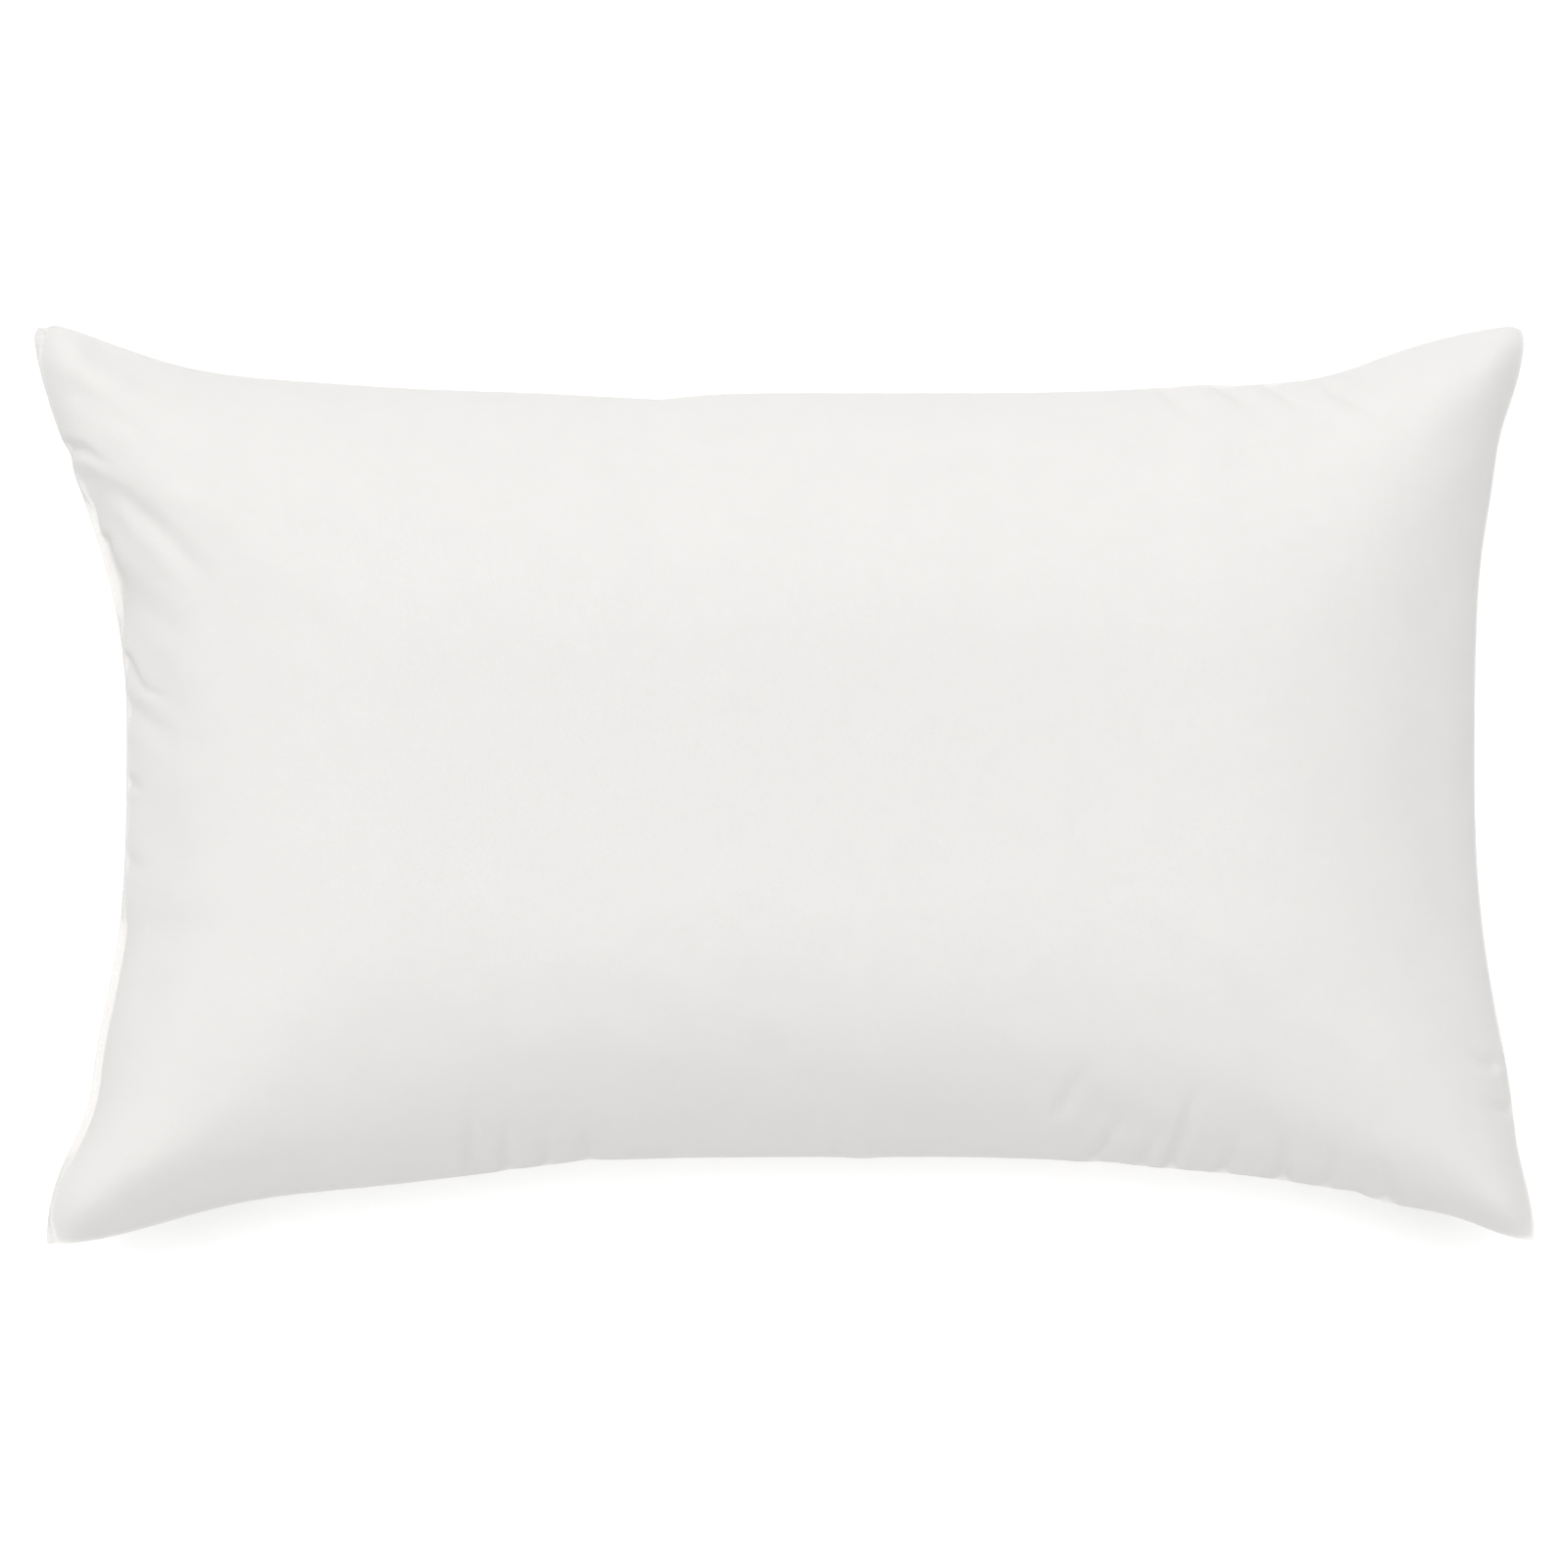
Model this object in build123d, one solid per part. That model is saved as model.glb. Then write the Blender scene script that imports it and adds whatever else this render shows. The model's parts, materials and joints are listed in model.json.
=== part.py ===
from build123d import *
import math
import os

# A filled bed pillow lying on its back face: two woven cotton panels, the threads that join them,
# a care label and a loose fibre fill. +X runs along the pillow's length, +Y along its width and +Z
# up. The origin is the middle of its box, on the surface that it rests on. Sizes are in millimetres.

# The filled pillow
LENGTH = 792.0  # from corner to corner
WIDTH = 486.0
SEAM_HEIGHT = 84.0  # above the surface that the pillow rests on
SWELL = 96.0  # from the seam to either panel's crown; the lower crown is pressed flat by 12 mm

# How far each corner lies inside the pillow's box, in X and Y
CORNER_INSET = {
    "front_left": (7.0, 0.0),
    "front_right": (0.0, 2.0),
    "back_left": (0.0, 0.0),
    "back_right": (5.0, 1.5),
}
CORNER_RADIUS = 2.5

# Each side is pulled in between its corners. Depth is how far, and the two exponents are how soon,
# at its first and its last end. Front and back run left to right, left and right run front to back.
PULL_IN = {
    "front": (45.0, 3.2, 5.0),
    "back": (36.0, 5.0, 4.6),
    "left": (45.0, 2.6, 2.85),
    "right": (29.0, 2.4, 2.9),
}
EAR = 2.0  # keeps a side straight beside its corners, so that the corners stand out as ears
STEEPNESS = math.radians(81)  # the share of a quarter turn that each panel makes from crown to seam
FULLNESS = 0.62  # 1 is an elliptic crown; less is fuller towards the seam

# The casing
CLOTH = 0.6
FOLD = 2 * CLOTH  # a folded edge is two layers thick
SEAM_GAP = 0.2  # from the seam's middle plane to either panel
ROLL = 1.0  # width of the rolled edge along the three turned seams
FLANGE = 4.0  # width of the flat edge along the closing seam, on the left
ALLOWANCE = 10.0  # from the seam to the cut edge, inside the casing

# Threads
THREAD = 0.4
OVERLOCK_NEEDLE = 3.2  # from the seam to the overlock's needle thread
OVERLOCK_BITE = (4.6, 9.4)  # from the seam to the two sides of the looper threads' zigzag
OVERLOCK_STEP = 3.0  # along the seam, from one turn of the zigzag to the next
OVERLOCK_MARGIN = 0.03  # share of a side's length, from either corner to the needle thread's ends
OVERLOCK_START = 2  # steps from either corner to the first turn of the zigzag
STITCH_LENGTH = 2.6
STITCH_PITCH = 3.2
STITCH_INSET = 2.4  # from the flange's edge to the closing stitches
STITCH_MARGIN = 14.0  # from either corner to the first closing stitch

# The fibre fill
FILL_CLEARANCE = 0.4  # under the casing's crowns
FILL_INSET = 8.2  # from the seam, because fibre doesn't reach into it
NECK_INSET = 12.0  # where the fill passes between the two allowances
NECK_HALF_HEIGHT = 1.5

# The care label, a strip folded in two, its ends caught by the closing stitches under the flange
LABEL_WIDTH = 30.0
LABEL_LENGTH = 42.0
LABEL_THICKNESS = 1.0
LABEL_GAP = 0.4  # between its two layers
LABEL_PLACE = 0.3  # share of the closing seam's length, from the front corner
LABEL_HINGE_DROP = 2.2  # from the flange's underside down to the line that the label swings on
LABEL_TUCK = 2.6  # width of the sewn edge

SURFACE_POINTS = 33  # each way across a crown
SIDE_POINTS = 41
HEADING_STEP = 0.01  # share of a side to either side of a point, to find its heading there

SIDES = ("front", "right", "back", "left")
TURNED_SIDES = ("front", "right", "back")  # the left side is closed last, from outside
ENDS = {
    "front": ("front_left", "front_right"),
    "back": ("back_left", "back_right"),
    "left": ("front_left", "back_left"),
    "right": ("front_right", "back_right"),
}
INWARD = {"front": (0, 1), "back": (0, -1), "left": (1, 0), "right": (-1, 0)}


def corner(name, inset, flange):
    """A corner of the outline that lies `inset` inside the seam's edge, and `flange` more on the left."""
    end, side = name.split("_")
    into_x, into_y = CORNER_INSET[name]
    y = WIDTH / 2 - into_y - inset
    x = LENGTH / 2 - into_x - inset
    if side == "left":
        x = flange - x
    return x, (y if end == "back" else -y)


def on_side(side, along, inset, flange=0.0):
    """The point at a share of a side's length, on the outline `inset` inside the seam's edge."""
    (x0, y0), (x1, y1) = (corner(name, inset, flange) for name in ENDS[side])
    depth, first, last = PULL_IN[side]
    exponent = first if along < 0.5 else last
    pulled = depth * (1 - abs(2 * along - 1) ** exponent) ** EAR
    x = x0 + (x1 - x0) * along + INWARD[side][0] * pulled
    y = y0 + (y1 - y0) * along + INWARD[side][1] * pulled
    return x, y


def in_plan(u, v, inset, flange):
    """The point at shares u and v of the outline's length and width, blended from its four sides."""
    front, back = on_side("front", u, inset, flange), on_side("back", u, inset, flange)
    left, right = on_side("left", v, inset, flange), on_side("right", v, inset, flange)
    shares = {
        "front_left": (1 - u) * (1 - v),
        "front_right": u * (1 - v),
        "back_left": (1 - u) * v,
        "back_right": u * v,
    }
    point = []
    for axis in (0, 1):
        from_sides = (1 - v) * front[axis] + v * back[axis] + (1 - u) * left[axis] + u * right[axis]
        from_corners = sum(s * corner(name, inset, flange)[axis] for name, s in shares.items())
        point.append(from_sides - from_corners)
    return point


def dome(inset, flange, base, rise):
    """The closed solid between the level at `base` and a crown that rises from the outline there."""
    steps = [math.pi * (i / (SURFACE_POINTS - 1) - 0.5) for i in range(SURFACE_POINTS)]
    turns = [STEEPNESS * math.sin(step) for step in steps]
    shares = [0.5 + 0.5 * math.sin(turn) / math.sin(STEEPNESS) for turn in turns]
    edge = math.cos(STEEPNESS)
    swells = [max(0.0, (math.cos(turn) - edge) / (1 - edge)) ** FULLNESS for turn in turns]
    rows = []
    for u, swell_u in zip(shares, swells):
        heights = [base + rise * swell_u * swell_v for swell_v in swells]
        rows.append([Vector(*in_plan(u, v, inset, flange), z) for v, z in zip(shares, heights)])
    crown = Face.make_surface_from_array_of_points(rows)
    level = Face(Wire(crown.edges()))
    return Solid(Shell([crown, level]))


def side_edge(side, inset, flange, height, margin=0.0):
    """One side of an outline, at a height, less a share of its length at either end."""
    shares = [margin + (1 - 2 * margin) * i / (SIDE_POINTS - 1) for i in range(SIDE_POINTS)]
    return Edge.make_spline([Vector(*on_side(side, share, inset, flange), height) for share in shares])


def plate(inset, low, high):
    """The level plate that fills an outline, between two heights."""
    outline = Face(Wire([side_edge(side, inset, 0, min(low, high)) for side in SIDES]))
    return extrude(outline, amount=abs(high - low), dir=(0, 0, 1))


def above(height):
    """Everything above a level, as a block twice the pillow's size."""
    size = (2 * LENGTH, 2 * WIDTH, 2 * (SEAM_HEIGHT + SWELL))
    return Pos(0, 0, height) * Box(*size, align=(Align.CENTER, Align.CENTER, Align.MIN))


def casing_panel(way):
    """One panel with its turned-in allowances: way is 1 for the upper panel and -1 for the lower."""
    seam = SEAM_HEIGHT + way * SEAM_GAP
    fold, cloth = seam + way * FOLD, seam + way * CLOTH
    rise = way * (SWELL - SEAM_GAP - FOLD)
    rim = fillet(plate(0, seam, fold).edges().filter_by(Axis.Z), CORNER_RADIUS)
    outside = rim + dome(ROLL, FLANGE - ROLL, fold, rise)
    inside = plate(ALLOWANCE, seam - way * FOLD, cloth) + dome(ROLL + CLOTH, FLANGE - ROLL, cloth, rise)
    return (outside & above(0)) - (inside & above(CLOTH))


def fibre_fill():
    """The fill: an upper and a lower crowned body, joined by a neck between the allowances."""
    rise = SWELL - FOLD + CLOTH - FILL_CLEARANCE - NECK_HALF_HEIGHT
    low, high = SEAM_HEIGHT - NECK_HALF_HEIGHT, SEAM_HEIGHT + NECK_HALF_HEIGHT
    neck = plate(NECK_INSET, low, high)
    body = dome(FILL_INSET, 0, high, rise) + neck + dome(FILL_INSET, 0, low, -rise)
    return body & above(CLOTH + FILL_CLEARANCE)


def overlock_needle_thread():
    """The lines of needle thread on the upper allowance, one run along each turned seam."""
    height = SEAM_HEIGHT + SEAM_GAP + CLOTH
    runs = []
    for side in TURNED_SIDES:
        outer = side_edge(side, OVERLOCK_NEEDLE, FLANGE, height, OVERLOCK_MARGIN)
        inner = side_edge(side, OVERLOCK_NEEDLE + THREAD, FLANGE, height, OVERLOCK_MARGIN)
        ends = [Edge.make_line(outer @ 0, inner @ 0), Edge.make_line(outer @ 1, inner @ 1)]
        runs.append(extrude(Face(Wire([outer, inner] + ends)), amount=THREAD, dir=(0, 0, 1)))
    return Compound(children=runs)


def zigzag(first_bite):
    """The turning points of a looper thread along the three turned seams, from the front left corner."""
    points = []
    for side in TURNED_SIDES:
        run = LENGTH if side != "right" else WIDTH
        steps = round(run / OVERLOCK_STEP)
        alongs = [i / steps for i in range(OVERLOCK_START, steps - OVERLOCK_START + 1)]
        if side == "back":
            alongs.reverse()
        for along in alongs:
            bite = OVERLOCK_BITE[(len(points) + first_bite) % 2]
            points.append(Vector(*on_side(side, along, bite, FLANGE)))
    return points


def looper_thread(first_bite, height):
    """A looper thread of the overlock, a zigzag of thread lying on an allowance."""
    points = zigzag(first_bite)
    headings = [(b - a).normalized() for a, b in zip(points, points[1:])]
    headings = [headings[0]] + headings + [headings[-1]]
    left, right = [], []
    for point, before, after in zip(points, headings, headings[1:]):
        across = Vector(-before.Y, before.X) + Vector(-after.Y, after.X)
        mitre = across * (THREAD / 2 / (1 + before.dot(after)))
        left.append(point + mitre)
        right.append(point - mitre)
    strip = Face(Wire.make_polygon(left + right[::-1], close=True))
    return Pos(0, 0, height) * extrude(strip, amount=THREAD, dir=(0, 0, 1))


def on_closing_seam(along, inset):
    """The place and heading at a share of the closing seam, `inset` in from the flange's edge."""
    x0, y0 = on_side("left", along - HEADING_STEP, inset)
    x1, y1 = on_side("left", along + HEADING_STEP, inset)
    x, y = on_side("left", along, inset)
    return x, y, math.atan2(y1 - y0, x1 - x0)


def closing_stitches(height_at):
    """The straight stitches of one lockstitch thread; height_at gives each stitch's underside."""
    stitches = []
    count = int((WIDTH - 2 * STITCH_MARGIN) / STITCH_PITCH)
    for i in range(count):
        along = (STITCH_MARGIN + (i + 0.5) * STITCH_PITCH) / WIDTH
        x, y, heading = on_closing_seam(along, STITCH_INSET)
        bar = extrude(SlotOverall(STITCH_LENGTH, THREAD), amount=THREAD)
        stitches.append(Pos(x, y, height_at(along)) * Rot(Z=math.degrees(heading)) * bar)
    return Compound(children=stitches)


def underside_of_flange():
    return SEAM_HEIGHT - SEAM_GAP - FOLD


def needle_height(along):
    """The closing needle thread lies on the flange."""
    return SEAM_HEIGHT + SEAM_GAP + FOLD


def bobbin_height(along):
    """The bobbin thread lies under the flange, and under the care label's ends where they are."""
    near_label = abs(along - LABEL_PLACE) * WIDTH < LABEL_WIDTH / 2 + STITCH_PITCH
    return underside_of_flange() - THREAD - (LABEL_THICKNESS if near_label else 0)


def at_label(height):
    """The label's place under the closing stitches: X along the seam, Y into the pillow, Z up."""
    x, y, heading = on_closing_seam(LABEL_PLACE, STITCH_INSET)
    return Pos(x, y, height) * Rot(Z=math.degrees(heading) + 180)


def care_label_sewn_edge():
    """The label's two ends, flat under the flange."""
    block = Box(LABEL_WIDTH, LABEL_TUCK, LABEL_THICKNESS, align=(Align.CENTER, Align.CENTER, Align.MAX))
    return at_label(underside_of_flange()) * block


def care_label():
    """The label's free part, a flat loop that hangs from the line that it swings on."""
    length = LABEL_LENGTH
    wall = (LABEL_THICKNESS - LABEL_GAP) / 2
    loop = SlotOverall(length, LABEL_THICKNESS) - SlotOverall(length - 2 * wall, LABEL_GAP)
    middle = Pos(0, 0, LABEL_THICKNESS / 2 - length / 2)
    upright = Plane(origin=(0, 0, 0), x_dir=(0, 0, 1), z_dir=(1, 0, 0))
    flap = middle * extrude(upright * loop, amount=LABEL_WIDTH / 2, both=True)
    return at_label(underside_of_flange() - LABEL_HINGE_DROP) * flap


def main():
    on_allowance = SEAM_HEIGHT + SEAM_GAP + CLOTH
    under_allowance = SEAM_HEIGHT - SEAM_GAP - CLOTH - THREAD
    nodes = {
        "casing_top_panel": casing_panel(1),
        "casing_bottom_panel": casing_panel(-1),
        "fibre_fill": fibre_fill(),
        "overlock_needle_thread": overlock_needle_thread(),
        "overlock_upper_looper_thread": looper_thread(0, on_allowance),
        "overlock_lower_looper_thread": looper_thread(1, under_allowance),
        "closing_needle_thread": closing_stitches(needle_height),
        "closing_bobbin_thread": closing_stitches(bobbin_height),
        "care_label_sewn_edge": care_label_sewn_edge(),
        "care_label": care_label(),
    }
    os.makedirs("parts", exist_ok=True)
    for name, shape in nodes.items():
        shape.label = name
        export_step(shape, f"parts/{name}.step")
    x, y, heading = on_closing_seam(LABEL_PLACE, STITCH_INSET)
    z = underside_of_flange() - LABEL_HINGE_DROP
    print(f"label hinge at {x:.3f}, {y:.3f}, {z:.3f}, heading {math.degrees(heading):.3f} degrees")


main()
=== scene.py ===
import json
import math
import bpy
import numpy as np
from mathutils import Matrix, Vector

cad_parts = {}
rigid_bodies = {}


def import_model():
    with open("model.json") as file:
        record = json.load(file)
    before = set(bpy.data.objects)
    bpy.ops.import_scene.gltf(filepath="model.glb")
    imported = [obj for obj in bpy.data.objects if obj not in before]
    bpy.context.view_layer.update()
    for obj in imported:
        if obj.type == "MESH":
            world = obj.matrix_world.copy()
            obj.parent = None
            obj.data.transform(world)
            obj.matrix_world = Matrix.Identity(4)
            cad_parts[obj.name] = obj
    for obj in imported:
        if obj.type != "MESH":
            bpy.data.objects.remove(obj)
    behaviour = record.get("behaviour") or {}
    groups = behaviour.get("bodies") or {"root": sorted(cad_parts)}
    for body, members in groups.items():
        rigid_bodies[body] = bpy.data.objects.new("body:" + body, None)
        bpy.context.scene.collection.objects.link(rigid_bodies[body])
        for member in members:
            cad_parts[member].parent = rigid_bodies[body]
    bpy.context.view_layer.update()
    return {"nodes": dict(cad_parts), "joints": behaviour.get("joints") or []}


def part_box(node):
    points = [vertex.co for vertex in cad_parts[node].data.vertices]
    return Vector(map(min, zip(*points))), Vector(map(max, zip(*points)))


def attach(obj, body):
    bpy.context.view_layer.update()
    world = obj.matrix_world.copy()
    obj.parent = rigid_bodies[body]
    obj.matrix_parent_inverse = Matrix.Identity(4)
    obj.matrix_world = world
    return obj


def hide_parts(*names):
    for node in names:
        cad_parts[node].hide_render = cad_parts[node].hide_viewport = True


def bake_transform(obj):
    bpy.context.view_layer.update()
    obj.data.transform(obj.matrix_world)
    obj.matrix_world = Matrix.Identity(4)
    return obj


# A filled bed pillow lying on its back face. Its outline and its heights come from the frame. The
# cotton is a flat casing, blown up by a cloth simulation between its seams and then creased, sewn
# and filled. Lengths are in metres. u runs along the pillow, from left to right, and v across it,
# from front to back; both are shares of the flat cloth's length and width.

# The casing, flat and empty
CLOTH_LENGTH = 0.800
CLOTH_WIDTH = 0.500
SEAM_ALLOWANCE = 0.010
FLANGE = 0.004  # the flat edge along the closing seam, on the left
LAYER = 0.00025  # thickness of the cotton
EDGE_POINTS = 801  # along each side of the outline
CORNER_POINTS = 40  # along each half of a rounded corner
RIM = 0.0012  # thickness of the frame's flat rim, by which its outer edge is found

# The simulation
CELL = 0.00625  # between the cloth's points
FINE_CELL = 0.0025  # between the finished panel's points
FRAMES = 40
SEAM_FRAMES = 12  # while the seams move in from the flat casing's edge to the pillow's outline
PRESSURE = 17.0
STIFFNESS = 80.0
SHEAR_STIFFNESS = 10.0
BENDING_STIFFNESS = 2.0
CLOTH_MASS = 0.3
CLOTH_STEPS = 6  # in each frame
FLOOR_GAP = 0.001  # kept between the cloth and the floor
FLOOR_FRICTION = 5
START_LIFT = 0.004  # of the flat panels' middles from each other, so that the pressure has a side
TINY = 1e-6  # keeps a power of zero finite
SHOULDER = 0.18  # from a seam to where the pillow has all its height
CROWN_SHAPE = 0.76  # 1 is a round crown; less is fuller towards the seams
CORNER_SHAPE = 5.0  # more is fuller towards the corners
FILL_HOLD = 0.8  # how far the filling keeps the cloth to its own rounded shape, as a share
UNEVENNESS = 0.0003  # of the flat cloth, so that its ripples aren't regular
REST_SOFTNESS = 0.0015  # height at which the casing starts to give way to the floor
IRONING = 24  # passes
IRONING_PASS = (0.50, -0.51)  # each pass smooths the cloth, then swells it back out
EDGE_SHARE = 0.2  # of a cell, from the seam to an extra row of points that keeps it crisp

# Where a seam steps in or out: side, share of its length, how far in, and half the step's width
SEAM_MARKS = [
    ("front", 0.115, 0.0055, 0.060),
    ("front", 0.260, -0.0028, 0.060),
    ("front", 0.760, -0.0034, 0.070),
    ("front", 0.950, 0.0042, 0.030),
    ("front", 0.360, 0.0010, 0.012),
    ("front", 0.545, -0.0008, 0.010),
    ("front", 0.712, 0.0010, 0.010),
    ("front", 0.875, 0.0015, 0.008),
    ("back", 0.089, 0.0072, 0.062),
    ("back", 0.400, 0.0025, 0.040),
    ("back", 0.420, 0.0012, 0.014),
    ("back", 0.810, 0.0012, 0.012),
    ("back", 0.860, 0.0058, 0.038),
    ("left", 0.145, 0.0062, 0.031),
    ("left", 0.630, 0.0022, 0.060),
    ("left", 0.858, 0.0018, 0.006),
    ("right", 0.100, 0.0033, 0.030),
    ("right", 0.770, 0.0028, 0.050),
    ("right", 0.885, 0.0042, 0.030),
]
STEADY_CORNER = 0.020  # from a corner to where such steps have all their depth
SEAM_WAVE = 0.0025  # the seams' gentle rise and fall
FLANGE_WAVE = SEAM_WAVE / 5
WAVE_TURNS = 2.5 * np.pi  # along a side
WAVE_START = {"front": 0.4, "right": 2.0, "back": 3.1, "left": 1.0}
ROUNDED_CORNERS = {"back_left": 0.007, "back_right": 0.006}  # how far from the corner it starts to turn

# Creases in the upper panel: a line in plan that starts at its deepest, its depth and its half width
CREASES = [
    ([(-0.375, 0.178), (-0.366, 0.175), (-0.350, 0.165)], 0.0050, 0.0034),
    ([(-0.366, 0.159), (-0.344, 0.148), (-0.320, 0.127), (-0.292, 0.100)], 0.0058, 0.0075),
    ([(-0.371, 0.206), (-0.340, 0.186), (-0.308, 0.155), (-0.290, 0.138)], 0.0034, 0.0085),
    ([(-0.361, 0.228), (-0.332, 0.212), (-0.308, 0.208)], 0.0026, 0.0080),
    ([(-0.362, 0.148), (-0.335, 0.118), (-0.314, 0.096)], 0.0030, 0.0070),
    ([(-0.356, 0.128), (-0.350, 0.108), (-0.342, 0.088)], 0.0046, 0.0036),
    ([(-0.348, 0.108), (-0.322, 0.082), (-0.296, 0.062)], 0.0024, 0.0080),
    ([(-0.346, 0.066), (-0.337, 0.051), (-0.320, 0.043)], 0.0050, 0.0032),
    ([(-0.343, 0.040), (-0.330, 0.030), (-0.313, 0.018)], 0.0030, 0.0065),
    ([(-0.344, 0.001), (-0.335, -0.004)], 0.0034, 0.0034),
    ([(-0.346, -0.040), (-0.332, -0.048)], 0.0024, 0.0050),
    ([(0.202, 0.206), (0.222, 0.186)], 0.0026, 0.0045),
    ([(0.226, 0.213), (0.255, 0.190)], 0.0036, 0.0045),
    ([(0.256, 0.210), (0.284, 0.188)], 0.0034, 0.0045),
    ([(0.288, 0.207), (0.314, 0.189)], 0.0042, 0.0045),
    ([(-0.163, -0.199), (-0.163, -0.166)], 0.0034, 0.0042),
    ([(-0.145, -0.200), (-0.144, -0.172)], 0.0034, 0.0040),
    ([(-0.124, -0.200), (-0.125, -0.174)], 0.0030, 0.0040),
    ([(-0.103, -0.200), (-0.102, -0.176)], 0.0030, 0.0040),
    ([(0.144, -0.170), (0.158, -0.142)], 0.0024, 0.0050),
    ([(0.162, -0.201), (0.176, -0.174)], 0.0050, 0.0042),
    ([(0.188, -0.202), (0.195, -0.182)], 0.0036, 0.0038),
    ([(0.204, -0.202), (0.214, -0.156)], 0.0050, 0.0042),
    ([(0.232, -0.204), (0.237, -0.180)], 0.0042, 0.0040),
    ([(0.263, -0.207), (0.260, -0.180)], 0.0050, 0.0042),
    ([(0.286, -0.210), (0.290, -0.192)], 0.0030, 0.0040),
    ([(0.318, -0.219), (0.309, -0.194)], 0.0046, 0.0048),
    ([(0.372, -0.148), (0.356, -0.140)], 0.0034, 0.0038),
    ([(0.380, -0.172), (0.362, -0.166)], 0.0030, 0.0038),
]
CREASE_CLEARANCE = 0.003  # height above the seam at which a crease has its full depth
LIP = 0.45  # height of a crease's lips, as a share of its depth
LIP_REACH = 2.2  # half width of the lips, in half widths of the crease
CREASE_FADE = 0.7  # how fast a crease fades along its length: 1 is evenly, and less is later

# The rolled seam, from its outermost line inwards: how far in, and how far from the seam's plane
ROLLED_EDGE = [(0.0003, 0.0004), (0.0010, 0.0001), (0.0050, 0.0003), (SEAM_ALLOWANCE, 0.0003)]
ROLL_HEIGHT = 0.0008
# The closing flange, from its folded edge in: how far from the pillow's body, and half its thickness
FLANGE_STEPS = [(FLANGE, 0.0004), (0.0035, 0.0006), (0.0026, 0.0006), (0.0016, 0.0004), (0.0007, 0.0006)]
# The flange lies flat over these shares of its length, and hangs down between them
FLAT_SPANS = [(-1.0, 0.02), (0.085, 0.36), (0.67, 0.81), (0.975, 2.0)]
FLAT_LEAST = 0.2  # how flat it still lies between them
FLAT_BLEND = 0.008  # share of its length that it takes to turn

# Threads
THREAD_RADIUS = 0.00018
STITCH_LENGTH = 0.0027
STITCH_PITCH = 0.0032
STITCH_INSET = 0.0024
STITCH_MARGIN = 0.014
STITCH_SECTIONS = 7
STITCH_HEIGHT = 0.000575  # from the flange's middle plane to the top of a stitch's arch
STITCH_END = 0.15  # a stitch's cross-section where it enters its hole, as a share
THREAD_SIDES = 6
OVERLOCK_NEEDLE = 0.0032  # from the seam to the overlock's needle thread
OVERLOCK_BITE = (0.0046, 0.0094)  # from the seam to the two sides of the looper threads' zigzag
OVERLOCK_STEP = 0.003
OVERLOCK_POINTS = 200  # along a side of the needle thread
OVERLOCK_MARGIN = 0.03  # share of a side's length left free at either corner

# The care label
LABEL_PLACE = 0.30  # share of the closing seam's length, from the front corner
LABEL_WIDTH = 0.030
LABEL_THICKNESS = 0.00022
LABEL_TUCK = 0.0013
LABEL_SPREAD = 0.0003  # from the label's middle to either of its two layers
LABEL_BEND = 0.0012  # where it turns down over the stitches
LABEL_WAVE = 0.0006  # how far it leaves a straight line on its way down
LABEL_CURL = 2.2  # how far along its wave it ends, in radians
LABEL_BOW = 0.0004  # how far its middle stands out from its two edges
LABEL_NEAR = 0.01  # share of the seam's length that gives the label its direction
LABEL_POINTS = 25
LABEL_TURN_POINTS = 7

# The filling
FILL_GAP = 0.003  # between it and the casing
FILL_LUMPS = 0.0025  # height of its lumps
FILL_LUMP_LENGTH = 0.023
FILL_LUMP_WIDTH = 0.019
FILL_STEP = 4  # in the panels' points

# Materials
WHITE = (0.86, 0.845, 0.828)
YARN_PITCH = 0.0009  # of the cotton's weave
SLUB = 0.004  # length of the yarns' thick and thin places
RUMPLE = 0.045  # size of the cotton's faint dents
MOTTLE = 0.03  # size of its faint blotches
PUCKERED = 0.003  # how far in from the closing seam its stitches pucker the cotton
TWIST_PITCH = 0.0004  # of the sewing thread
RIB_PITCH = 0.0004  # of the satin
STRAND = 0.003  # size of the fibre's tufts

# Light and view. Soft lamps: the way to each of them from the pillow, and its strength
LAMPS = {
    "top_lamp": (Vector((0.0, 0.0, 1.0)), 1.50),
    "back_lamp": (Vector((0.0, 0.56, 0.83)), 1.04),
    "left_lamp": (Vector((-0.35, 0.35, 0.87)), 0.57),
    "front_lamp": (Vector((0.0, -0.87, 0.50)), 0.43),
}
LAMP_SPREAD = math.radians(55)
SKY_LIGHT = (0.95, 0.03)  # low over the horizon, and above
HORIZON = (0.03, 0.12)  # heights between which the sky changes from one to the other
FLOOR_WHITE = 0.93
FLOOR_GLOW = 0.26
FLOOR_SIZE = 60.0
LENS = 135.0
SENSOR = 36.0
VIEW_WIDTH = 0.827  # what the camera sees at the height of the seam

SIDES = ("front", "right", "back", "left")
INWARD = {"front": (0, 1), "right": (-1, 0), "back": (0, -1), "left": (1, 0)}


# ---------------------------------------------------------------- the outline


def points_of(node):
    """A node's vertices as an array."""
    return np.array([vertex.co for vertex in node.data.vertices])


def outer_edge(node):
    """The outer edge of a panel's flat rim, in order round the pillow.

    It is where both of the rim's levels have a point."""
    points = points_of(node)
    low = points[:, 2].min()
    on_rim = [
        {(round(x, 5), round(y, 5)) for x, y, z in points if abs(z - level) < LAYER}
        for level in (low, low + RIM)
    ]
    edge = np.array(sorted(on_rim[0] & on_rim[1]))
    return edge[np.argsort(np.arctan2(edge[:, 1], edge[:, 0]))]


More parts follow.
